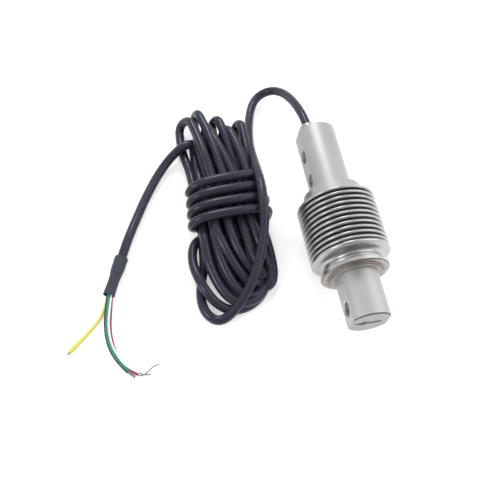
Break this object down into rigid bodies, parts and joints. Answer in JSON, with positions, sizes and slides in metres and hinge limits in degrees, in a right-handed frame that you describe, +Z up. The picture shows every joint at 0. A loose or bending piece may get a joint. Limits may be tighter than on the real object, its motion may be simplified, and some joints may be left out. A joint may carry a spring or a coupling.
{
  "type": "bending beam load cell",
  "caption": "Bending beam load cell with flatted bar ends, a bellows over its measuring section, bolt holes across the flats and a tied cable.",
  "frame": {"origin": "on the floor under the middle of the cell, cable left out", "axes": "+Y along the bar from the load end to the cable end, +X through the bolt holes, +Z up"},
  "size_m": [0.1767, 0.1698, 0.044],
  "materials": {
    "stainless": "satin turned and milled stainless steel",
    "bellows_steel": "bright hydroformed stainless steel",
    "gauge_foil": "foil gauge on polyimide carrier",
    "terminal": "tinned pads on a glass fibre strip",
    "circuit_board": "glass fibre board",
    "resistor": "chip resistors",
    "header": "tinned solder header",
    "inner_insulation": "fluoropolymer insulation",
    "potting": "cast resin",
    "seal_rubber": "moulded rubber",
    "cable_jacket": "extruded jacket, slightly glossy",
    "heat_shrink": "heat shrink tube",
    "yellow_sleeve": "soft sleeve",
    "tinned_copper": "tinned copper strand",
    "core_black": "wire insulation",
    "core_green": "wire insulation",
    "core_white": "wire insulation",
    "core_red": "wire insulation"
  },
  "bodies": {
    "root": {"bare_black": "tinned_copper", "bare_green": "tinned_copper", "bare_red": "tinned_copper", "bare_white": "tinned_copper", "beam_body": "stainless", "bellows": "bellows_steel", "cable_gland": "stainless", "cable_hank": "cable_jacket", "cable_lead": "cable_jacket", "cable_tail": "cable_jacket", "compensation_board": "circuit_board", "drain_wire": "tinned_copper", "gland_seal": "seal_rubber", "heat_shrink": "heat_shrink", "inner_wire_1": "inner_insulation", "inner_wire_2": "inner_insulation", "inner_wire_3": "inner_insulation", "inner_wire_4": "inner_insulation", "load_end_ring": "stainless", "potting_plug": "potting", "screen_sleeve": "yellow_sleeve", "solder_header": "header", "strain_gauge_1": "gauge_foil", "strain_gauge_2": "gauge_foil", "strain_gauge_3": "gauge_foil", "strain_gauge_4": "gauge_foil", "terminal_strip_1": "terminal", "terminal_strip_2": "terminal", "trim_resistors": "resistor", "wire_black": "core_black", "wire_green": "core_green", "wire_red": "core_red", "wire_white": "core_white"}
  },
  "joints": []
}
